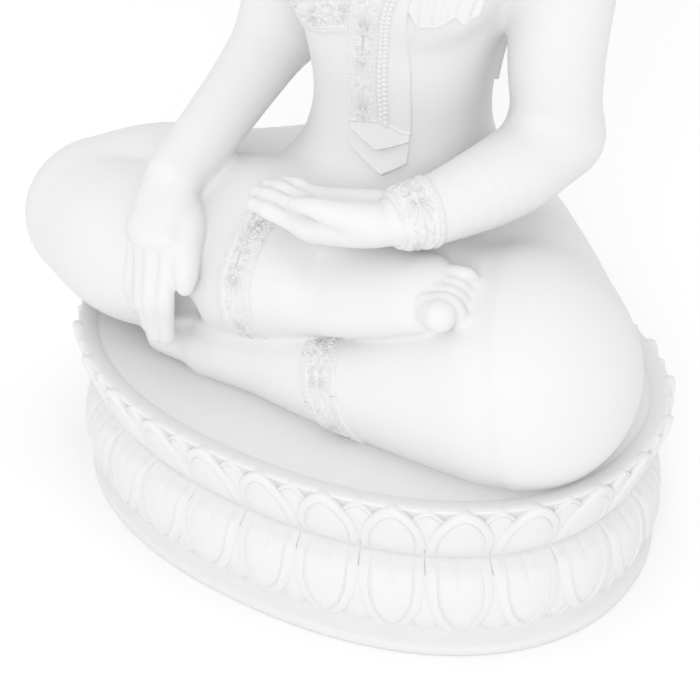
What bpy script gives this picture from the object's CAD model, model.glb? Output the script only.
"""A seated buddha figurine in matt white cast resin on an oval lotus base."""
import math

import bpy
import numpy as np
from bpy.props import FloatProperty, FloatVectorProperty, IntProperty, PointerProperty
from mathutils import Matrix, Vector


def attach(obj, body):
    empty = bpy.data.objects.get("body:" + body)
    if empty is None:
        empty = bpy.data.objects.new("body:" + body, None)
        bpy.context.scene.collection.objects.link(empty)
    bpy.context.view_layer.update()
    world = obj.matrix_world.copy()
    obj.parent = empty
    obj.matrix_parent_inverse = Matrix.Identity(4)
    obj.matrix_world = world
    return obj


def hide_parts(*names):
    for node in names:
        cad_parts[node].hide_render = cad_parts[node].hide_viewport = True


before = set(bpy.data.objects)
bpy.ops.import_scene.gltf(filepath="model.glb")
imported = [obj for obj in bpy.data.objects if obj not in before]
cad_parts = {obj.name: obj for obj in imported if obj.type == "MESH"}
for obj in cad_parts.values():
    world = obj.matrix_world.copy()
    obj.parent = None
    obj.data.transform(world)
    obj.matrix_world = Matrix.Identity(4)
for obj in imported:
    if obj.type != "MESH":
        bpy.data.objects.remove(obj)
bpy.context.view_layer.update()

bl_info = {
    "name": "Seated Buddha Figurine",
    "version": (1, 0, 0),
    "blender": (4, 5, 0),
    "location": "View3D > Sidebar > Figurine",
    "description": "Builds a seated figurine on a lotus base, its carving, material, light and camera",
    "category": "Object",
}

NEAR = 4.0
SEAT = 92.0
HALF_WIDTH = 165.0
HALF_DEPTH = 120.5
SQUARENESS = 2.19
NECK_CUT = 378.0


# Distance fields of rounded shapes, in millimetres

def blend(a, b, k):
    h = np.clip(0.5 + 0.5 * (b - a) / k, 0, 1)
    return b + (a - b) * h - k * h * (1 - h)


def smooth_rows(rows, steps):
    rows = np.asarray(rows, float)
    if len(rows) < 3:
        return rows
    ends = np.vstack([2 * rows[0] - rows[1], rows, 2 * rows[-1] - rows[-2]])
    t = np.linspace(0, 1, steps, endpoint=False)[:, None]
    out = []
    for p0, p1, p2, p3 in zip(ends, ends[1:], ends[2:], ends[3:]):
        out.append(0.5 * (2 * p1 + (p2 - p0) * t + (2 * p0 - 5 * p1 + 4 * p2 - p3) * t ** 2
                          + (3 * p1 - p0 - 3 * p2 + p3) * t ** 3))
    out.append(rows[-1:])
    return np.vstack(out)


class Limb:
    """A rounded limb through stations of x, y, z, radius, squeezed along one direction."""

    def __init__(self, stations, flat=None, squeeze=1.0, steps=6):
        rows = smooth_rows(stations, steps).astype(np.float32)
        self.start = rows[:-1, :3]
        self.step = rows[1:, :3] - rows[:-1, :3]
        self.radius = rows[:-1, 3]
        self.grow = rows[1:, 3] - rows[:-1, 3]
        self.length = np.maximum((self.step ** 2).sum(1), 1e-9)
        wide = np.maximum(rows[:-1, 3], rows[1:, 3])[:, None]
        self.low = np.minimum(rows[:-1, :3], rows[1:, :3]) - wide
        self.high = np.maximum(rows[:-1, :3], rows[1:, :3]) + wide
        self.flat = None
        if flat is not None:
            self.flat = (np.asarray(flat, float) / np.linalg.norm(flat)).astype(np.float32)
            self.extra = np.float32(1 / squeeze - 1)
        self.least = self.low.min(0)
        self.most = self.high.max(0)

    def __call__(self, p, box=None, reach=NEAR):
        use = slice(None)
        if box is not None:
            low, high = box[0] - reach, box[1] + reach
            if np.any(self.least > high) or np.any(self.most < low):
                return None
            use = np.all((self.low <= high) & (self.high >= low), axis=1)
            if not use.any():
                return None
        ab = self.step[use]
        d = p[None] - self.start[use][:, None]
        t = np.clip(np.einsum("kmi,ki->km", d, ab) / self.length[use][:, None], 0, 1)
        q = d - t[..., None] * ab[:, None]
        if self.flat is not None:
            q += ((q @ self.flat) * self.extra)[..., None] * self.flat
        far = np.sqrt(np.einsum("kmi,kmi->km", q, q))
        return (far - self.radius[use][:, None] - self.grow[use][:, None] * t).min(0)


class Egg:
    """An ellipsoid."""

    def __init__(self, centre, radii):
        self.centre = np.asarray(centre, np.float32)
        self.radii = np.asarray(radii, np.float32)
        self.low = self.centre - self.radii
        self.high = self.centre + self.radii

    def __call__(self, p, box=None, reach=NEAR):
        if box is not None:
            if np.any(self.low - reach > box[1]) or np.any(self.high + reach < box[0]):
                return None
        q = p - self.centre
        k0 = np.sqrt(((q / self.radii) ** 2).sum(1))
        k1 = np.sqrt(((q / self.radii ** 2) ** 2).sum(1))
        return np.where(k1 > 1e-9, k0 * (k0 - 1) / np.maximum(k1, 1e-9), -self.radii.min())


class Column:
    """An upright trunk through rows of z, centre x, centre y, half width, half depth."""

    def __init__(self, rows, squareness):
        self.rows = smooth_rows(rows, 6).astype(np.float32)
        self.power = squareness
        r = self.rows
        self.low = np.array([(r[:, 1] - r[:, 3]).min(), (r[:, 2] - r[:, 4]).min(), r[0, 0]])
        self.high = np.array([(r[:, 1] + r[:, 3]).max(), (r[:, 2] + r[:, 4]).max(), r[-1, 0]])

    def __call__(self, p, box=None, reach=NEAR):
        if box is not None and (np.any(self.low - reach > box[1]) or np.any(self.high + reach < box[0])):
            return None
        r = self.rows
        z = np.clip(p[:, 2], r[0, 0], r[-1, 0])
        cx, cy, w, d = (np.interp(z, r[:, 0], r[:, i]).astype(np.float32) for i in (1, 2, 3, 4))
        k = (np.abs((p[:, 0] - cx) / w) ** self.power + np.abs((p[:, 1] - cy) / d) ** self.power)
        side = (k ** (1 / self.power) - 1) * np.minimum(w, d)
        cap = np.maximum(r[0, 0] - p[:, 2], p[:, 2] - r[-1, 0])
        return -blend(-side, -cap, 8)


class Blend:
    """Shapes blended in turn, each with its own rounding."""

    def __init__(self, *items):
        self.items = items
        widest = [max([k for _, k in items[i:]]) for i in range(len(items))]
        self.reaches = widest

    def __call__(self, p, box=None, reach=NEAR):
        total = None
        for (shape, k), widest in zip(self.items, self.reaches):
            d = shape(p, box, max(reach, widest + NEAR))
            if d is None:
                continue
            total = d if total is None else blend(total, d, k)
        return total


class Cut:
    """A shape kept on one side of a level plane."""

    def __init__(self, shape, above=None, below=None):
        self.shape = shape
        self.above = above
        self.below = below

    def __call__(self, p, box=None, reach=NEAR):
        d = self.shape(p, box, reach)
        if d is None:
            return None
        if self.above is not None:
            d = np.maximum(d, self.above - p[:, 2])
        if self.below is not None:
            d = np.maximum(d, p[:, 2] - self.below)
        return d


class Hollow:
    """A shape with a rounded hollow scooped out of it."""

    def __init__(self, shape, scoop, k):
        self.shape = shape
        self.scoop = scoop
        self.round = k

    def __call__(self, p, box=None, reach=NEAR):
        d = self.shape(p, box, reach)
        if d is None:
            return None
        scoop = self.scoop(p, box, reach + self.round)
        return d if scoop is None else -blend(-d, scoop, self.round)


# The figure's recipe: the same named forms and sizes as the solid

def trunk_shape():
    return Column([
        (95, 0, 42, 92, 56), (135, 0, 42, 88, 54), (175, -1, 38, 66, 48), (205, -1, 35, 50, 40),
        (228, -1, 35, 45.5, 37), (255, -1, 35, 49, 40), (275, -1, 36, 56, 43), (295, 0, 37, 64, 46),
        (318, 0, 39, 68, 46), (340, 0, 41, 62, 39), (356, 0, 42, 40, 29)], 2.3)


def left_leg_shape():
    foot = [(40, -50, 113, 30), (8, -53, 109, 25), (-24, -54, 107, 21), (-46, -56, 106, 19.5), (-57, -57, 105, 18.5)]
    return Blend(
        (Limb([(48, 50, 138, 46), (84, 20, 133, 44), (106, -16, 131, 47)]), 0),
        (Limb([(104, -26, 126, 55), (76, -36, 120, 45), *foot]), 24),
        (Limb([(58, -20, 153, 31), (96, -12, 143, 35)]), 14),
        (Limb([(-64, -60, 104, 13), (-85, -62, 104, 11)]), 2))


def right_leg_shape():
    """Thigh and calf meet at the knee, and a hollow opens under the calf beside the hand.

    The knee is 1 mm shorter than in the solid, whose flat facets lie a little inside its round form.
    """
    calf = [(-160.8, -24, 134, 40), (-122, -39, 137, 42.5), (-96, -46, 139, 37), (-70, -47, 146, 30),
            (-47, -46, 145, 30.5), (-26, -47, 149, 29), (-8, -49, 153, 25)]
    return Hollow(
        Blend(
            (Limb([(-48, 50, 140, 45), (-92, 20, 142, 40), (-130, 0, 140, 43.5), (-159, -20, 136, 40)]), 0),
            (Limb(calf), 2.5),
            (Limb([(-96, -12, 148, 33), (-64, -18, 159, 34), (-24, -20, 164, 33)]), 18)),
        Limb([(-67, -112, 132, 14), (-66, -72, 134, 12.5)]), 4)


def foot_shape():
    """The right foot, sole up on the left thigh, its toes curled over to the side."""
    items = [(Limb([(-14, -42, 154, 27), (8, -44, 158, 28), (36, -46, 166, 26), (60, -49.5, 173.5, 21)],
                   (0, -0.55, 0.83), 0.62), 0),
             (Limb([(66, -58, 172, 6), (81, -64.5, 176.5, 7.8)]), 3)]
    toes = [[(70, -60, 178, 4), (80, -58, 180.5, 4.2), (85, -57, 177.5, 4.2), (87, -56, 172.5, 3.8)],
            [(70, -53, 180, 4), (79, -52, 181, 4.2), (83, -50, 178, 4.2), (85, -49, 173, 3.8)],
            [(69, -46, 181, 4), (78.5, -46, 182, 4.1), (82, -44, 179, 4.1), (84, -43, 174, 3.7)],
            [(68, -40, 183, 3.8), (77, -40, 184.5, 4), (81, -38, 183, 4), (82.5, -37, 178, 3.6)]]
    items += [(Limb(rows), 1.2) for rows in toes]
    return Blend(*items)


def finger(root, joint, tip, r):
    """A finger through three places, a little thinner between its joints."""
    root, joint, tip = (np.array(v, float) for v in (root, joint, tip))
    return Limb([(*root, r), (*(root + joint) / 2, r * 0.94), (*joint, r), (*(joint + tip) / 2, r * 0.88),
                 (*tip, r * 0.84)])


def hand_shape(palm, fingers, web, thumb, thumb_web):
    return Blend(*palm, *[(finger(*rows), web) for rows in fingers], (Limb(thumb), thumb_web))


def right_hand_shape():
    palm = [(Limb([(-82, -50, 193, 14.5), (-80, -60, 188, 15.5), (-76, -71, 180, 16)], (0, -0.66, 0.75), 0.62), 0),
            (Limb([(-65, -79, 176, 6), (-78, -79, 175, 6.3), (-89, -74, 173, 6)]), 6)]
    fingers = [((-64.5, -79, 175), (-62, -88, 147), (-66, -84, 121), 4.7),
               ((-73, -80, 175), (-70.5, -89, 144.5), (-73, -85, 120.5), 4.7),
               ((-81.5, -79, 173), (-79, -85.5, 140.5), (-79.5, -82, 122.5), 4.4),
               ((-89, -75, 171), (-89.5, -81, 142.5), (-88.5, -79, 129.5), 4)]
    thumb = [(-74, -56, 184, 9), (-63.5, -65, 178, 9), (-57.5, -75, 170, 7.6), (-53.5, -81, 162, 6.4),
             (-53, -83, 155, 4.4)]
    return hand_shape(palm, fingers, 2, thumb, 3)


def left_hand_shape():
    palm = [(Limb([(50, -44, 207, 14), (32, -50, 201, 16), (8, -53, 196.5, 16.5)], (0, 0.3, 1), 0.6), 0),
            (Limb([(54, -38, 206, 10), (30, -37, 204.5, 8), (8, -40, 202, 6.5), (-3, -41, 202.5, 4.5)]), 5)]
    fingers = [((0.7, -63, 197.9), (-16, -62, 200), (-25.8, -60, 199.3), 4.3),
               ((-4, -55, 202), (-20.5, -54, 202.4), (-29.4, -52, 200.7), 4.3),
               ((-5, -47.5, 202.5), (-19.3, -46.5, 203.6), (-28.1, -45, 201.6), 4.1),
               ((-2.3, -41.5, 203), (-13.2, -40, 204.4), (-22.2, -39, 202.8), 3.7)]
    thumb = [(40, -56, 208.5, 9), (26, -64, 211.5, 6.8), (13.5, -67.5, 213.5, 4.6), (3, -66.5, 211.5, 3.4)]
    return hand_shape(palm, fingers, 1.2, thumb, 4)


def left_arm_shape():
    return Blend(
        (Limb([(82, 40, 328, 26), (82, 39, 300, 24), (81, 38, 265, 23), (82, 42, 226, 21)]), 0),
        (Limb([(83, 44, 221, 20.5), (75, 10, 214, 21), (60, -26, 209, 17), (50, -42, 208, 14.5)]), 10))


def right_arm_shape():
    return Blend(
        (Limb([(-80, 40, 328, 26), (-80, 42, 300, 24.5), (-78, 44, 270, 23), (-77, 42, 246, 21)]), 0),
        (Limb([(-77, 40, 243, 21.5), (-80, 8, 222, 17.8), (-81, -28, 204, 16), (-82, -50, 194, 14.5)]), 10))


def skull_items():
    return [(Egg((0, 37, 436), (34.5, 41, 40)), 0), (Egg((0, 22, 414), (29.5, 29, 39)), 12)]


def head_shape():
    items = skull_items() + [(Egg((0, 5, 390), (14, 12, 10.5)), 15)]
    for s in (-1, 1):
        items += [
            (Egg((s * 14, 5, 405), (12, 9.5, 13)), 9),
            (Egg((s * 12.2, -2.2, 420.5), (8.8, 5.4, 4.6)), 3),
            (Limb([(s * 4.5, -5.6, 426, 1.9), (s * 12.5, -5.6, 431.5, 1.9), (s * 22, 0.5, 428.5, 1.2)]), 5),
            (Egg((s * 5.2, -10, 404.2), (3.5, 4.2, 3.1)), 2.5),
            (Limb([(s * 33.5, 33, 431, 5.5), (s * 36, 35, 421, 7.5), (s * 34.5, 33, 405, 6),
                   (s * 32.5, 31, 392, 5.5), (s * 31.5, 29, 381, 6)], (1, 0.35, 0), 0.6), 3)]
    items += [
        (Limb([(0, -5, 428, 3.2), (0, -10, 416, 3.4), (0, -14.6, 404.8, 4.3)]), 4),
        (Limb([(-9, -6.8, 394.6, 1.2), (-4, -10, 395.7, 2.1), (0, -10.4, 395.1, 2), (4, -10, 395.7, 2.1),
               (9, -6.8, 394.6, 1.2)]), 1.5),
        (Limb([(-7, -7.8, 392.4, 1.2), (0, -9.8, 391, 2.6), (7, -7.8, 392.4, 1.2)]), 1.2),
        (Egg((0, -2.5, 383.5), (7.5, 5.5, 5.5)), 6),
        (Egg((0, 42, 474), (20, 21, 20)), 8),
        (Limb([(0, 42, 490, 8), (0, 42, 500, 9), (0, 42, 508, 6.5), (0, 42, 515, 3)]), 3)]
    return Blend(*items)


def torso_items():
    items = [
        (trunk_shape(), 0),
        (Egg((0, -8, 152), (84, 46, 40)), 24),
        (Limb([(-78, 40, 329, 27), (-40, 41, 346, 22), (0, 42, 354, 21), (40, 41, 346, 22), (78, 40, 329, 27)]), 22)]
    items += [(Egg((s * 28, 4, 303), (30, 13, 24)), 16) for s in (-1, 1)]
    items += [
        (Limb([(0, 39, 345, 26), (0, 35, 366, 21.5), (0, 34, 395, 22)]), 16),
        (Egg((14, -29, 171), (48, 22, 15)), 10)]
    return items


def figure_shape():
    return Blend(
        *torso_items(), (left_leg_shape(), 9), (left_arm_shape(), 8), (right_arm_shape(), 8),
        (right_leg_shape(), 7), (head_shape(), 5), (foot_shape(), 4), (left_hand_shape(), 3),
        (right_hand_shape(), 3))


# Meshes from distance fields

CORNERS = np.array([(0, 0, 0), (1, 0, 0), (0, 1, 0), (1, 1, 0), (0, 0, 1), (1, 0, 1), (0, 1, 1), (1, 1, 1)])
EDGES = [(0, 1), (2, 3), (4, 5), (6, 7), (0, 2), (1, 3), (4, 6), (5, 7), (0, 4), (1, 5), (2, 6), (3, 7)]


def slopes(shape, p, box, f0, e=0.05):
    g = np.empty_like(p)
    for i in range(3):
        q = p.copy()
        q[:, i] += e
        g[:, i] = (shape(q, box) - f0) / e
    return g


def onto_surface(shape, p, box, limit, rounds=2):
    """Moves points to the shape's surface and returns them with the outward slopes."""
    for _ in range(rounds):
        f0 = shape(p, box)
        g = slopes(shape, p, box, f0)
        move = (f0 / np.maximum((g ** 2).sum(1), 0.2))[:, None] * g
        size = np.linalg.norm(move, axis=1)[:, None]
        p = p - move * np.minimum(1, limit / np.maximum(size, 1e-9))
    return p, g / np.maximum(np.linalg.norm(g, axis=1)[:, None], 1e-9)


def blocks(shape, origin, size, smallest):
    """Corners of the smallest blocks that the surface may pass through, found by halving."""
    box = (origin, origin + size)
    d = shape((origin + size / 2).astype(np.float32)[None], (box[0] - size, box[1] + size))
    if d is None or abs(d[0]) > size * 1.4 + 2:
        return []
    if size <= smallest * 1.01:
        return [origin]
    found = []
    for corner in CORNERS:
        found += blocks(shape, origin + corner * size / 2, size / 2, smallest)
    return found


def skin(shape, low, high, step, cells=12, refine=1):
    """Closed quad mesh of the shape's surface, sampled only in blocks that the surface can reach."""
    low = np.asarray(low, float)
    small = cells * step
    levels = int(np.ceil(np.log2((np.asarray(high, float) - low).max() / small)))
    span = np.arange(cells + 1)
    grid = np.stack(np.meshgrid(span, span, span, indexing="ij"), -1)
    flat = grid.reshape(-1, 3) * step
    side = cells * 2 ** levels + 2
    stride = np.array([side * side, side, 1], dtype=np.int64)
    n = cells
    all_ids, all_points, all_faces = [], [], []
    for origin in blocks(shape, low, small * 2 ** levels, small):
        first = np.rint((origin - low) / step).astype(np.int64)
        box = (origin, origin + small)
        f = shape((origin + flat).astype(np.float32), box)
        if f is None or f.min() > 0 or f.max() < 0:
            continue
        f = f.reshape(grid.shape[:3])
        inside = f < 0
        total = sum(inside[c[0]:c[0] + n, c[1]:c[1] + n, c[2]:c[2] + n].astype(np.int8) for c in CORNERS)
        cell = np.argwhere((total > 0) & (total < 8))
        if len(cell):
            values = np.stack([f[cell[:, 0] + c[0], cell[:, 1] + c[1], cell[:, 2] + c[2]] for c in CORNERS], 1)
            where = np.zeros((len(cell), 3))
            hits = np.zeros(len(cell))
            for a, c in EDGES:
                va, vc = values[:, a], values[:, c]
                cross = (va < 0) != (vc < 0)
                t = np.where(cross, va / np.where(cross, va - vc, 1), 0)[:, None]
                where += cross[:, None] * (CORNERS[a] + t * (CORNERS[c] - CORNERS[a]))
                hits += cross
            p = origin + (cell + where / hits[:, None]) * step
            if refine:
                p, _ = onto_surface(shape, p.astype(np.float32), box, step * 0.5, refine)
            all_points.append(p)
            all_ids.append((cell + first + 1) @ stride)
        for axis in range(3):
            u, v = (axis + 1) % 3, (axis + 2) % 3
            near = inside[:n, :n, :n]
            ahead = [slice(0, n)] * 3
            ahead[axis] = slice(1, n + 1)
            change = np.argwhere(near != inside[tuple(ahead)])
            if not len(change):
                continue
            out = near[change[:, 0], change[:, 1], change[:, 2]]
            base = (change + first + 1) @ stride
            quad = np.stack([base, base - stride[u], base - stride[u] - stride[v], base - stride[v]], 1)
            quad[~out] = quad[~out][:, ::-1]
            all_faces.append(quad)
    ids = np.concatenate(all_ids)
    points = np.concatenate(all_points)
    order = np.argsort(ids)
    ids, points = ids[order], points[order]
    faces = np.concatenate(all_faces)
    place = np.clip(np.searchsorted(ids, faces), 0, len(ids) - 1)
    good = (ids[place] == faces).all(1)
    if not good.all():
        raise RuntimeError("the surface has an open edge")
    return points, place[:, ::-1]


def volume(points, faces):
    a, b, c = points[faces[:, 0]], points[faces[:, 1]], points[faces[:, 2]]
    total = np.einsum("ij,ij->", a, np.cross(b, c))
    if faces.shape[1] == 4:
        d = points[faces[:, 3]]
        total += np.einsum("ij,ij->", a, np.cross(c, d))
    return total / 6


def piece(name, points, faces, material, smooth=True):
    """A mesh object from points in millimetres, riding on the figurine."""
    groups = [np.asarray(g, dtype=np.int32) for g in (faces if isinstance(faces, list) else [faces])]
    if sum(volume(points, g) for g in groups) < 0:
        groups = [g[:, ::-1] for g in groups]
    mesh = bpy.data.meshes.new(name)
    flat = np.concatenate([g.ravel() for g in groups])
    sides = np.concatenate([np.full(len(g), g.shape[1], dtype=np.int32) for g in groups])
    mesh.vertices.add(len(points))
    mesh.vertices.foreach_set("co", (np.asarray(points) * 0.001).astype(np.float32).ravel())
    mesh.loops.add(len(flat))
    mesh.loops.foreach_set("vertex_index", flat)
    mesh.polygons.add(len(sides))
    mesh.polygons.foreach_set("loop_start", np.concatenate([[0], np.cumsum(sides)[:-1]]).astype(np.int32))
    mesh.update(calc_edges=True)
    mesh.validate()
    obj = bpy.data.objects.new(name, mesh)
    bpy.context.collection.objects.link(obj)
    mesh.materials.append(material)
    if smooth:
        mesh.shade_smooth()
    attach(obj, "root")
    return obj


def thin(obj, target):
    """Collapses the piece's flatter faces until about target triangles are left."""
    now = sum(len(p.vertices) - 2 for p in obj.data.polygons)
    if now <= target:
        return
    bpy.ops.object.select_all(action="DESELECT")
    bpy.context.view_layer.objects.active = obj
    obj.select_set(True)
    m = obj.modifiers.new("thin", "DECIMATE")
    m.ratio = target / now
    bpy.ops.object.modifier_apply(modifier=m.name)
    obj.data.shade_smooth()
    obj.select_set(False)


def by_angle(obj, degrees):
    bpy.ops.object.select_all(action="DESELECT")
    bpy.context.view_layer.objects.active = obj
    obj.select_set(True)
    bpy.ops.object.shade_smooth_by_angle(angle=math.radians(degrees))
    obj.select_set(False)


# The oval of the base

def oval_steps():
    t = np.linspace(0, 2 * np.pi, 5761) - np.pi / 2
    e = 2 / SQUARENESS
    c, s = np.cos(t), np.sin(t)
    pts = np.stack([np.sign(c) * np.abs(c) ** e, np.sign(s) * np.abs(s) ** e], 1)
    run = np.concatenate([[0], np.cumsum(np.linalg.norm(np.diff(pts * (HALF_WIDTH, HALF_DEPTH), axis=0), axis=1))])
    return pts, run


OVAL = oval_steps()


def oval_points(u, offset, z):
    pts, run = OVAL
    s = (u % 1.0) * run[-1]
    x = np.interp(s, run, pts[:, 0]) * (HALF_WIDTH + offset)
    y = np.interp(s, run, pts[:, 1]) * (HALF_DEPTH + offset)
    return np.stack([x, y, z * np.ones_like(x)], -1)


def rings(rows, joined=False):
    """Points and faces of stacked closed rings, ended by fans, or joined end to end."""
    count, n = rows.shape[:2]
    i, j = np.meshgrid(np.arange(count if joined else count - 1), np.arange(n), indexing="ij")
    a, b = (i * n + j).ravel(), (i * n + (j + 1) % n).ravel()
    step = np.where(i.ravel() == count - 1, n - count * n, n)
    quads = [np.stack([a, b, b + step, a + step], 1)]
    points = [rows.reshape(-1, 3)]
    if joined:
        return points[0], quads[0]
    hubs = []
    extra = count * n
    k = np.arange(n)
    for end, flip in ((0, True), (count - 1, False)):
        middle = rows[end].mean(0)
        points += [rows[end] * 0.5 + middle * 0.5, middle[None]]
        ring = np.stack([end * n + k, end * n + (k + 1) % n, extra + (k + 1) % n, extra + k], 1)
        hub = np.stack([extra + k, extra + (k + 1) % n, np.full(n, extra + n)], 1)
        quads.append(ring[:, ::-1] if flip else ring)
        hubs.append(hub[:, ::-1] if flip else hub)
        extra += n + 1
    return np.concatenate(points), [np.concatenate(quads), np.concatenate(hubs)]


# Lotus base

WAIST = 56.5


def flank(z):
    """Stand-off of the base's side from the oval at each height, without the petals."""
    rows = np.array([(12.5, -5.0), (18, -2.8), (26, -1.2), (34, -1.0), (42, -2.0), (47, -3.6), (51, -6.0),
                     (54, -9.0), (56.5, -11.0), (60, -10.4), (68, -6.9), (80, -2.8), (88, -0.4), (96, 1.2)])
    return np.interp(z, rows[:, 0], rows[:, 1])


def core(steps=300):
    """The oval body of the base behind the petals, from the foot to the flat seat."""
    rows = [(0, -0.6), (0.6, 0.2), (1.6, 0.55), (4.8, 0.65), (6.0, 0.3), (7.0, -1.0), (8.5, -2.9), (10.5, -4.4),
            (12.5, -5.2), (15, -5.0)]
    rows += [(z, flank(z) - 1.0) for z in np.linspace(18, 54, 16)]
    rows += [(WAIST - 1, flank(WAIST) + 0.3), (WAIST, flank(WAIST) + 0.3), (WAIST + 1, flank(WAIST) + 0.3)]
    rows += [(z, flank(z) - 1.7 + 1.2 * min(max((z - 78) / 10, 0), 1)) for z in np.linspace(60, 91.5, 14)]
    rows += [(93.4, 0.8), (94.2, 0.3), (94.55, -0.8), (94.5, -2.2), (93.2, -7.8), (92.7, -8.8), (92.2, -9.6),
             (SEAT, -10.6), (SEAT, -20.0)]
    u = np.arange(steps) / steps
    return rings(np.array([oval_points(u, off, z) for z, off in rows]))


def outline(half, top, shoulder, tip, power, count):
    """Outline of a petal: upright sides from top to shoulder, then a rounded or pointed arch to the tip."""
    side = np.linspace(top, shoulder, count // 4, endpoint=False)
    a = np.linspace(0, np.pi, count - 2 * len(side))
    arch_x = -half * np.sign(np.cos(a)) * np.abs(np.cos(a)) ** (2 / power)
    arch_z = shoulder + (tip - shoulder) * np.abs(np.sin(a)) ** (2 / power)
    x = np.concatenate([np.full(len(side), -half), arch_x, np.full(len(side), half)])
    return x, np.concatenate([side, arch_z, side[::-1]])


def petal(half, top, shoulder, tip, power, rim, lift, thick, vein=0.0, count=60):
    """One petal as rings inward from its outline: rim, groove, fine ridge and crowned field."""
    rows = [(0.25, lift - thick), (0, lift - thick + 0.4), (0, lift - 1.5), (0.25, lift - 0.9), (0.7, lift - 0.42),
            (1.3, lift - 0.12), (rim - 0.55, lift), (rim - 0.25, lift - 0.5), (rim + 0.1, lift - 0.5), (rim + 0.4, lift),
            (rim + 0.7, lift - 0.05), (rim + 1.05, lift - 0.7), (rim + 1.8, lift - 0.65)]
    last = half - 0.35
    rows += [(rim + 1.8 + (last - 0.9 - rim - 1.8) * t, lift - 0.65 + 0.5 * math.sin(t * 1.57)) for t in (0.33, 0.67, 1)]
    rows.append((last, lift - 0.15))
    way = np.sign(tip - shoulder)
    roll = 7.0
    grid = []
    for inset, h in rows:
        x, z = outline(half - inset, top, shoulder, tip - way * min(inset, abs(tip - shoulder) * 0.8), power, count)
        crown = 0.8 * (1 - (x / half) ** 2) if h > lift - thick + 1 else 0
        fade = np.clip(np.abs(z - WAIST) / roll, 0, 1) ** 0.5
        grid.append(np.stack([x, z, np.where(h > 0, (h + crown) * fade, h)], 1))
    grid = np.array(grid)
    near = np.clip(1 - np.abs(grid[-1, :, 1] - top) / 13, 0, 1)
    grid[-1, :, 2] -= vein * np.clip(near * 3, 0, 1)
    n, rings_in = count, len(rows)
    i, j = np.meshgrid(np.arange(rings_in - 1), np.arange(n - 1), indexing="ij")
    a = (i * n + j).ravel()
    faces = [np.stack([a, a + 1, a + 1 + n, a + n], 1)]
    k = np.arange(n // 2 - 1)
    zip_up = np.stack([k, k + 1, n - 2 - k, n - 1 - k], 1)
    faces += [zip_up + (rings_in - 1) * n, zip_up[:, ::-1]]
    k = np.arange(rings_in - 1)
    faces.append(np.stack([k * n, (k + 1) * n, (k + 1) * n + n - 1, k * n + n - 1], 1))
    return grid.reshape(-1, 3), np.concatenate(faces)


def petal_row(petals, template, shift):
    """Copies one petal round the oval, each copy with its own mesh points."""
    points, faces = template
    length = OVAL[1][-1]
    at = (np.arange(petals) + shift)[:, None] / petals
    u = at + points[None, :, 0] / length
    z = np.broadcast_to(points[None, :, 1], u.shape)
    p = oval_points(u, flank(z) + points[None, :, 2], z)
    return p.reshape(-1, 3), (faces[None] + (np.arange(petals) * len(points))[:, None, None]).reshape(-1, 4)


def petal_kinds(petals):
    """Sizes of the four kinds of petal: height of foot and tip, width, rim and stand-off."""
    half = OVAL[1][-1] / petals / 2
    return {
        "lower_petals": (petal(half - 0.05, WAIST, 44, 13.6, 1.75, 5.8, 2.6, 5, vein=0.5), 0.5),
        "lower_inner_petals": (petal(half * 0.72, 50, 32, 13.8, 1.9, 2.6, 1.2, 3.6), 0),
        "upper_petals": (petal(half - 0.05, WAIST, 68, 95.2, 1.65, 5.2, 2.4, 4.6), 0.5),
        "upper_inner_petals": (petal(half * 0.84, 62, 74, 94.9, 1.45, 2.4, 0.9, 4.2), 0)}


# Carved bands and cloth that lie on a form

def palmette_strokes():
    """Half of a palmette, for a field of half width 1: fan, scroll, stem and the leaf between two fans."""
    heart = 1.5
    rows = []
    for angle, reach in ((0, 1.95), (20, 1.75), (40, 1.28), (61, 0.98), (84, 0.82), (110, 0.6)):
        c, s = math.cos(math.radians(angle)), math.sin(math.radians(angle))
        rows.append((heart + 0.26 * c, 0.26 * s, 0.05, heart + reach * c, reach * s, 0.125))
    rows.append((heart - 0.05, 0, 0.15, heart + 0.05, 0, 0.15))
    turn = np.linspace(-1.2, 6.6, 15)
    r = 0.37 - 0.27 * np.linspace(0, 1, 15)
    x, y = 0.66 + r * np.cos(turn), 0.53 + r * np.sin(turn)
    for i in range(14):
        rows.append((x[i], y[i], 0.085, x[i + 1], y[i + 1], 0.085))
    rows.append((heart - 0.2, 0.1, 0.07, x[0], y[0], 0.085))
    rows.append((heart - 0.2, 0.07, 0.07, 0, 0.1, 0.07))
    rows.append((0, 0.6, 0.05, 0, 0.8, 0.13))
    rows.append((3.5, 0, 0.06, 4, 0, 0.33))
    rows.append((3.62, 0.72, 0.05, 4, 0.6, 0.16))
    return np.array(rows)


def palmette_table(cells=50):
    x, y = np.meshgrid(np.arange(4 * cells + 1) / cells, np.arange(cells + 1) / cells, indexing="ij")
    top = np.zeros(x.shape)
    for x0, y0, r0, x1, y1, r1 in palmette_strokes():
        dx, dy = x1 - x0, y1 - y0
        t = np.clip(((x - x0) * dx + (y - y0) * dy) / (dx * dx + dy * dy), 0, 1)
        r = r0 + (r1 - r0) * t
        d = np.hypot(x - x0 - t * dx, y - y0 - t * dy)
        top = np.maximum(top, np.sqrt(np.clip(1 - (d / r) ** 2, 0, 1)) * np.clip(0.6 + 3 * r, 0, 1))
    return top


PALMETTE = palmette_table()


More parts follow.
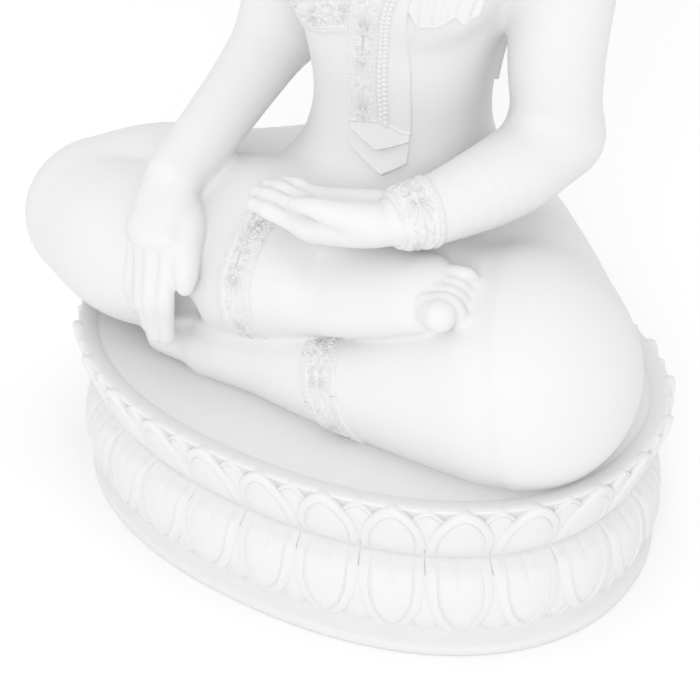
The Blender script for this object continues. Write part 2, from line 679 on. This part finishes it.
def palmettes(u, v, half, unit):
    """Height of a running palmette pattern, from 0 to 1."""
    cells = PALMETTE.shape[1] - 1
    s = np.abs((u / unit) % 1 - 0.5) * 8 * cells
    t = np.clip(np.abs(v) / half, 0, 1) * cells
    i = np.minimum(s.astype(int), 4 * cells - 1)
    j = np.minimum(t.astype(int), cells - 1)
    a, b = s - i, t - j
    return ((PALMETTE[i, j] * (1 - a) + PALMETTE[i + 1, j] * a) * (1 - b)
            + (PALMETTE[i, j + 1] * (1 - a) + PALMETTE[i + 1, j + 1] * a) * b) * (np.abs(v) < half)


def beads(u, v, pitch, radius):
    d = np.hypot(u % pitch - pitch / 2, v)
    return np.sqrt(np.clip(1 - (d / radius) ** 2, 0, 1)) * radius


def ridge(v, width):
    return np.exp(-(v / width) ** 2)


def fitted(length, pitch):
    return length / max(round(length / pitch), 1)


def band_relief(half, plate=0.9, unit=45.0):
    """Relief of a carved band: rims, rows of beads, thin lines and palmettes between them."""
    def relief(u, v, length):
        a = np.abs(v)
        h = plate * np.sqrt(np.clip((half - a) / 0.7, 0, 1))
        h += 0.35 * ridge(a - half + 0.8, 0.5)
        h += 0.85 * beads(u, a - half + 2.2, fitted(length, 1.95), 0.86)
        h += 0.45 * ridge(a - half + 3.7, 0.34)
        field = half - 4.4
        h -= 0.35 * np.clip((field - a) / 0.3, 0, 1)
        return h + 1.3 * palmettes(u, v, field, fitted(length, unit))
    return relief


def strip(shape, guide, half, relief, step, joined=False, sink=1.6):
    """A strip along guide points on a form. Its top follows relief, and its edges sink into the form."""
    line = smooth_rows(guide, 16)
    line, _ = onto_surface(shape, line.astype(np.float32), None, 6, 8)
    run = np.concatenate([[0], np.cumsum(np.linalg.norm(np.diff(line, axis=0), axis=1))])
    count = int(round(run[-1] / step))
    u = np.linspace(0, run[-1], count + 1)[:count if joined else None]
    centre = np.stack([np.interp(u, run, line[:, i]) for i in range(3)], 1)
    centre, normal = onto_surface(shape, centre.astype(np.float32), None, 4, 2)
    if joined:
        tangent = np.roll(centre, -1, axis=0) - np.roll(centre, 1, axis=0)
    else:
        tangent = np.gradient(centre, axis=0)
    across = np.cross(tangent, normal)
    across /= np.linalg.norm(across, axis=1)[:, None]
    v = np.linspace(-half, half, int(round(2 * half / step)) + 1)
    p = (centre[:, None] + across[:, None] * v[None, :, None]).reshape(-1, 3)
    p, n = onto_surface(shape, p.astype(np.float32), None, 4, 4)
    uu, vv = np.meshgrid(u, v, indexing="ij")
    h = relief(uu, vv, run[-1]).reshape(-1, 1)
    p = p.reshape(len(u), len(v), 3)
    n = n.reshape(p.shape)
    top = p + n * h.reshape(len(u), len(v), 1)
    low = p[:, [-1, 0]] - n[:, [-1, 0]] * sink
    return rings(np.concatenate([top, low], axis=1), joined)


def hoop(centre, axis, radius, count=16):
    """Guide points of a band round a limb."""
    axis = np.asarray(axis, float) / np.linalg.norm(axis)
    side = np.cross(axis, (0, 0, 1.0) if abs(axis[2]) < 0.9 else (1.0, 0, 0))
    side /= np.linalg.norm(side)
    other = np.cross(axis, side)
    t = np.linspace(0, 2 * np.pi, count + 1)[:, None]
    return np.asarray(centre, float) + radius * (np.cos(t) * side + np.sin(t) * other)


SASH = [(8.5, -6, 189), (8.5, -4, 203), (8.5, -3, 220), (8.5, -3, 236), (8.8, -4, 250), (10, -6, 264),
        (12.3, -8, 278), (15.8, -9, 291), (21.5, -8, 305), (29, -4, 318), (37.5, 6, 331), (45, 20, 342),
        (50, 38, 348), (51, 58, 341), (49, 74, 322), (46, 80, 298), (44, 80, 268), (43, 79, 236)]
SASH_HALF = 17.0


def sash_relief(u, v, length):
    """Height over the body: palmette field, bead rows, a plain layer at the left, and folds at the foot."""
    z = 189 + u
    x = v + 8.5
    end = np.interp(x, [-8, 9.5, 21, 26], [219.5, 223.5, 218.5, 218.5])
    bare = np.where(z > 250, np.interp(z, [250, 291, 330], [17.0, 12.6, 8.0]), 17.0)
    h = 1.3 * np.sqrt(np.clip((bare - v) / 0.6, 0, 1))
    front = (v < 5.6) & (v > -16.6)
    h = np.where(front, 2.2, h)
    h = np.where(v < -16.2, 2.2 * np.sqrt(np.clip((v + 16.9) / 0.7, 0, 1)), h)
    h += 0.8 * beads(u, v + 15.2, 1.95, 0.86)
    h += 0.35 * ridge(v + 13.6, 0.34)
    field = 5.5
    h -= 0.4 * np.clip((field - np.abs(v + 7.6)) / 0.3, 0, 1)
    h += 1.4 * palmettes(u - 8.5, v + 7.6, field, 45.0)
    h += 0.45 * ridge(v + 1.5, 0.4) - 0.9 * ridge(v + 0.5, 0.4)
    h += 0.9 * beads(u, v - 1.6, 2.7, 1.25) + 0.9 * beads(u + 1.35, v - 3.9, 2.7, 1.25)
    h += 0.4 * ridge(v - 5.5, 0.35)
    behind = length * 0.47
    plain = np.where(np.abs(v) < 16.9, 1.8, -0.5) + 0.5 * ridge(np.abs(v) - 14.6, 0.8)
    h = np.where(u > behind, plain, h)
    first = np.interp(x, [-8.5, 9.3, 25.5], [217.0, 208.6, 215.8])
    second = np.interp(x, [-8.5, -3, 13.5, 25.5], [208.0, 204.5, 195.8, 205.0])
    roof = np.clip(1 - np.abs(x - 9.3) / 17, 0, 1)
    upper = 2.0 + 0.5 * roof + (0.8 + 1.7 * roof) * np.clip((end - z) / np.maximum(end - first, 1), 0, 1)
    roof = np.clip(1 - np.abs(x - 13.5) / 17, 0, 1)
    lower = 1.0 + 0.4 * roof + (0.8 + 1.8 * roof) * np.clip((first - z) / np.maximum(first - second, 1), 0, 1)
    folds = np.where(z > first, upper, np.where(z > second, lower, -1.2))
    folds = np.where((np.abs(v) > 16.4), -1.2, folds)
    return np.where(z > end, h + 0.9 * ridge(z - end - 0.6, 0.6), folds)


def drape_relief(u, v, length):
    """Cloth from the left shoulder: upright flutes over a hem that hangs in scallops."""
    hem = np.interp(v, [-17.5, -16, -13, -9, -4, 1, 4.7, 8, 11, 14, 17.5],
                    [16, 9, 3.6, 2.5, 3.6, 6.5, 11.5, 8.4, 8.2, 13, 19])
    flute = 0.5 + 0.5 * np.cos(2 * np.pi * (v + 9) / 6.2)
    h = 1.7 + 1.3 * flute * np.clip(1.25 - u / 70, 0.15, 1) + 0.7 * ridge(u - hem - 0.8, 0.7)
    far = length - 6 - 3 * flute
    h = np.minimum(h, 3.2 * np.sqrt(np.clip((17.2 - np.abs(v)) / 1.4, 0, 1)))
    return np.where((u > hem) & (u < far), h, -1.2)


# Hair and curls

def skull_shape():
    return Blend(*skull_items(), (Egg((0, 42, 474), (20, 21, 20)), 8))


def hairline(phi):
    front = np.maximum(0, -np.sin(phi))
    return np.pi * (0.70 - 0.21 * front ** 1.3 - 0.07 * np.cos(phi) ** 2)


CROWN = np.array([0.0, 40.0, 446.0])


class Hair:
    """A thin cap over the skull, down to the hairline."""

    def __init__(self):
        self.skull = skull_shape()

    def __call__(self, p, box=None, reach=NEAR):
        d = self.skull(p, box, reach)
        if d is None:
            return None
        q = p - CROWN
        r = np.maximum(np.linalg.norm(q, axis=1), 1e-6)
        polar = np.arccos(np.clip(q[:, 2] / r, -1, 1))
        phi = np.arctan2(q[:, 1], q[:, 0])
        return np.maximum(d - 1.3, (polar - hairline(phi)) * r * 0.8)


def cast_from_crown(skull, polar, phi):
    way = np.stack([np.sin(polar) * np.cos(phi), np.sin(polar) * np.sin(phi), np.cos(polar)], 1)
    t = np.full(len(polar), 20.0)
    for _ in range(60):
        t -= 0.7 * skull(CROWN + way * t[:, None])
    return CROWN + way * t[:, None]


def snail(radius, height, turn):
    """One curl: a low dome with a spiral groove, as rings of points on a unit frame."""
    n, m = 9, 18
    r = np.linspace(1, 0.02, n)[:, None] * radius
    a = np.linspace(0, 2 * np.pi, m, endpoint=False)[None]
    h = height * (1 - (r / radius) ** 2.2) ** 0.75
    groove = 0.5 + 0.5 * np.cos(2 * np.pi * (r / radius * 2.1) + a * turn)
    h = h - 0.55 * groove * np.clip((1 - r / radius) * 4, 0, 1) * np.clip(r / radius * 3, 0, 1)
    x, y = r * np.cos(a), r * np.sin(a)
    p = np.stack([x, y, h * np.ones_like(x)], -1)
    p[0, :, 2] = -1.2
    return p


def curls(spacing):
    skull = skull_shape()
    places = []
    polar = 0.24
    row = 0
    while polar < 2.3:
        probe = cast_from_crown(skull, np.array([polar]), np.array([0.5]))[0]
        around = 2 * np.pi * np.hypot(probe[0] - CROWN[0], probe[1] - CROWN[1])
        n = max(int(round(around / spacing)), 6)
        phi = (np.arange(n) + 0.5 * (row % 2)) / n * 2 * np.pi - np.pi / 2
        places += [(polar, f) for f in phi if polar < hairline(f) - 0.035]
        size = np.linalg.norm(probe - CROWN)
        polar += spacing * 0.86 / size
        row += 1
    places = np.array(places)
    at = cast_from_crown(skull, places[:, 0], places[:, 1])
    at, normal = onto_surface(skull, at, None, 2.0)
    points, faces, lids = [], [], []
    base = snail(spacing * 0.52, 3.1, 1)
    n, m = base.shape[:2]
    i, j = np.meshgrid(np.arange(n - 1), np.arange(m), indexing="ij")
    a, b = (i * m + j).ravel(), (i * m + (j + 1) % m).ravel()
    quads = np.stack([a, b, b + m, a + m], 1)
    k = np.arange(m)
    lid = np.stack([k, (k + 1) % m, np.full(m, n * m)], 1)[:, ::-1]
    for spot, z in zip(at, normal):
        x = np.cross(z, (0.0, 0.0, 1.0))
        x /= max(np.linalg.norm(x), 1e-6)
        y = np.cross(z, x)
        p = spot + z * 0.9 + base[..., :1] * x + base[..., 1:2] * y + base[..., 2:] * z
        faces.append(quads + len(points) * (n * m + 1))
        lids.append(lid + len(points) * (n * m + 1))
        points.append(np.vstack([p.reshape(-1, 3), spot[None]]))
    return np.concatenate(points), [np.concatenate(faces), np.concatenate(lids)]


# Material

def resin_material(settings):
    mat = bpy.data.materials.new("white_resin")
    mat.use_nodes = True
    tree = mat.node_tree
    shader = tree.nodes["Principled BSDF"]
    coords = tree.nodes.new("ShaderNodeTexCoord")
    cloud = tree.nodes.new("ShaderNodeTexNoise")
    cloud.inputs["Scale"].default_value = 9.0
    cloud.inputs["Detail"].default_value = 3.0
    tint = tree.nodes.new("ShaderNodeMix")
    tint.data_type = "RGBA"
    tint.inputs["A"].default_value = (*[c * 0.985 for c in settings.resin_colour], 1)
    tint.inputs["B"].default_value = (*settings.resin_colour, 1)
    grain = tree.nodes.new("ShaderNodeTexNoise")
    grain.inputs["Scale"].default_value = 900.0
    grain.inputs["Detail"].default_value = 2.0
    height = tree.nodes.new("ShaderNodeBump")
    height.inputs["Strength"].default_value = 0.12
    height.inputs["Distance"].default_value = 0.0002
    link = tree.links.new
    link(coords.outputs["Object"], cloud.inputs["Vector"])
    link(coords.outputs["Object"], grain.inputs["Vector"])
    link(cloud.outputs["Fac"], tint.inputs["Factor"])
    link(tint.outputs["Result"], shader.inputs["Base Color"])
    link(grain.outputs["Fac"], height.inputs["Height"])
    link(height.outputs["Normal"], shader.inputs["Normal"])
    shader.inputs["Roughness"].default_value = settings.roughness
    shader.inputs["Specular IOR Level"].default_value = 0.35
    return mat


def resin():
    return bpy.data.materials.get("white_resin") or resin_material(bpy.context.scene.figurine)


# Settings

class FigurineSettings(bpy.types.PropertyGroup):
    body_step: FloatProperty(name="Body Step", description="Sampling step of the body, in millimetres",
                             default=1.1, min=0.6, max=6)
    head_step: FloatProperty(name="Head Step", description="Sampling step of the head, in millimetres",
                             default=0.7, min=0.4, max=4)
    petals: IntProperty(name="Petals", description="Main petals in each row of the base", default=27, min=12, max=40)
    curl_spacing: FloatProperty(name="Curl Spacing", description="Distance between curls, in millimetres",
                                default=8.0, min=5, max=14)
    resin_colour: FloatVectorProperty(name="Resin", description="Colour of the cast resin", subtype="COLOR",
                                      size=3, default=(0.77, 0.77, 0.772), min=0, max=1)
    roughness: FloatProperty(name="Roughness", description="Roughness of the resin", default=0.6, min=0, max=1)
    camera_distance: FloatProperty(name="Camera Distance", description="From the aim point to the camera",
                                   default=0.8696, min=0.2, max=5, unit="LENGTH")


# Operators

class FIGURINE_OT_body(bpy.types.Operator):
    """Build the body from the legs to the neck"""
    bl_idname = "figurine.body"
    bl_label = "Body"

    def execute(self, context):
        step = context.scene.figurine.body_step * 1
        shape = Cut(figure_shape(), above=SEAT - 3, below=NECK_CUT)
        points, faces = skin(shape, (-210, -112, 84), (180, 116, 382), step)
        obj = piece("body", points, faces, resin())
        thin(obj, 180000)
        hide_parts("seated_figurine")
        return {"FINISHED"}


class FIGURINE_OT_head(bpy.types.Operator):
    """Build the head, its hair cap and the curls"""
    bl_idname = "figurine.head"
    bl_label = "Head"

    def execute(self, context):
        settings = context.scene.figurine
        step = settings.head_step * 1
        shape = Cut(figure_shape(), above=NECK_CUT)
        points, faces = skin(shape, (-50, -28, 370), (50, 92, 522), step)
        obj = piece("head", points, faces, resin())
        thin(obj, 110000)
        points, faces = skin(Hair(), (-46, -14, 395), (46, 90, 500), step * 1.3, refine=0)
        thin(piece("hair_cap", points, faces, resin()), 28000)
        points, faces = curls(settings.curl_spacing)
        piece("curls", points, faces, resin())
        return {"FINISHED"}


class FIGURINE_OT_base(bpy.types.Operator):
    """Build the oval base with its two rows of petals"""
    bl_idname = "figurine.base"
    bl_label = "Lotus Base"

    def execute(self, context):
        by_angle(piece("base_core", *core(), resin()), 40)
        petals = context.scene.figurine.petals
        for name, (template, shift) in petal_kinds(petals).items():
            by_angle(piece(name, *petal_row(petals, template, shift), resin()), 42)
        return {"FINISHED"}


class FIGURINE_OT_cloth(bpy.types.Operator):
    """Lay the carved bands, the sash and the shoulder drape on the body"""
    bl_idname = "figurine.cloth"
    bl_label = "Carved Bands and Sash"

    def execute(self, context):
        step = 0.45 * 1
        chest = Blend(*torso_items())
        shoulder = Blend(*torso_items(), (left_arm_shape(), 8))
        rings_on = (
            ("cuff_band", left_arm_shape(), hoop((50, -42, 208), (-0.53, -0.85, -0.05), 16), 11),
            ("ankle_band", right_leg_shape(), hoop((-27, -47, 149), (0.98, -0.04, 0.14), 30), 9.8),
            ("hem_band", left_leg_shape(), hoop((26, -51, 111), (0.912, 0, 0.41), 29), 10.5))
        for name, shape, guide, half in rings_on:
            piece(name, *strip(shape, guide, half, band_relief(half), step, joined=True), resin())
        guide = [(6, -9, 285.5), (-12, -9.3, 282.5), (-30, -3.5, 277.5), (-46, 10, 276), (-56, 28, 279),
                 (-58, 46, 283), (-50, 66, 288), (-33, 79, 296), (-8, 84, 308), (14, 83, 321), (32, 75, 334),
                 (44, 60, 345), (47, 44, 350)]
        piece("chest_band", *strip(chest, guide, 11.5, band_relief(11.5), step), resin())
        piece("sash", *strip(shoulder, SASH, SASH_HALF, sash_relief, step), resin())
        guide = [(44, -7, 283), (46, -7, 298), (52, -2, 316), (60, 10, 333), (66, 28, 345), (68, 44, 347),
                 (66, 60, 339), (61, 72, 322), (57, 78, 302), (54, 80, 282)]
        piece("shoulder_drape", *strip(shoulder, guide, 17.5, drape_relief, step), resin())
        return {"FINISHED"}


class FIGURINE_OT_stage(bpy.types.Operator):
    """Add the floor, the light and the camera"""
    bl_idname = "figurine.stage"
    bl_label = "Stage"

    def execute(self, context):
        bpy.ops.object.select_all(action="DESELECT")
        bpy.ops.mesh.primitive_plane_add(size=12, location=(0, 0, 0))
        floor = context.object
        floor.name = "floor"
        mat = bpy.data.materials.new("pale_floor")
        mat.use_nodes = True
        shader = mat.node_tree.nodes["Principled BSDF"]
        shader.inputs["Base Color"].default_value = (0.96, 0.96, 0.96, 1)
        shader.inputs["Roughness"].default_value = 0.9
        floor.data.materials.append(mat)
        world = context.scene.world or bpy.data.worlds.new("World")
        context.scene.world = world
        world.use_nodes = True
        sky = world.node_tree.nodes.get("Background") or world.node_tree.nodes.new("ShaderNodeBackground")
        sky.inputs["Color"].default_value = (1, 1, 1, 1)
        sky.inputs["Strength"].default_value = 0.87
        context.scene.view_settings.view_transform = "Standard"
        lights = (("key", (0.9, -1.9, 1.15), 0.9, 14), ("left", (-2.0, -0.8, 1.1), 1.4, 3),
                  ("top", (0.3, 0.3, 2.6), 2.4, 9))
        for name, place, size, power in lights:
            bpy.ops.object.light_add(type="AREA", location=place)
            light = context.object
            light.name = name
            light.data.size = size
            light.data.energy = power
            aim = Vector((0, 0, 0.2)) - Vector(place)
            light.rotation_euler = aim.to_track_quat("-Z", "Y").to_euler()
        azimuth, elevation = math.radians(33), math.radians(35)
        back = Vector((math.sin(azimuth) * math.cos(elevation), -math.cos(azimuth) * math.cos(elevation),
                       math.sin(elevation)))
        right = Vector((math.cos(azimuth), math.sin(azimuth), 0))
        up = back.cross(right)
        target = Vector((-0.00693, -0.004455, 0.088605))
        bpy.ops.object.camera_add()
        camera = context.object
        camera.name = "photo_camera"
        turn = Matrix((right, up, back)).transposed().to_4x4()
        camera.matrix_world = Matrix.Translation(target + back * context.scene.figurine.camera_distance) @ turn
        camera.data.sensor_width = 36
        camera.data.lens = 36 * 1618 / 700
        context.scene.camera = camera
        return {"FINISHED"}


class FIGURINE_PT_panel(bpy.types.Panel):
    """Settings and build buttons of the figurine"""
    bl_idname = "FIGURINE_PT_panel"
    bl_label = "Figurine"
    bl_space_type = "VIEW_3D"
    bl_region_type = "UI"
    bl_category = "Figurine"

    def draw(self, context):
        layout = self.layout
        for name in FigurineSettings.__annotations__:
            layout.prop(context.scene.figurine, name)
        for operator in OPERATORS:
            layout.operator(operator.bl_idname)


OPERATORS = (FIGURINE_OT_body, FIGURINE_OT_head, FIGURINE_OT_base, FIGURINE_OT_cloth, FIGURINE_OT_stage)


def register():
    for kind in (FigurineSettings, *OPERATORS, FIGURINE_PT_panel):
        bpy.utils.register_class(kind)
    bpy.types.Scene.figurine = PointerProperty(type=FigurineSettings)


def unregister():
    del bpy.types.Scene.figurine
    for kind in (FIGURINE_PT_panel, *reversed(OPERATORS), FigurineSettings):
        bpy.utils.unregister_class(kind)


def main():
    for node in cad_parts.values():
        node.select_set(False)
    register()
    bpy.ops.figurine.body()
    bpy.ops.figurine.head()
    bpy.ops.figurine.base()
    bpy.ops.figurine.cloth()
    bpy.ops.figurine.stage()


if __name__ == "__main__":
    main()
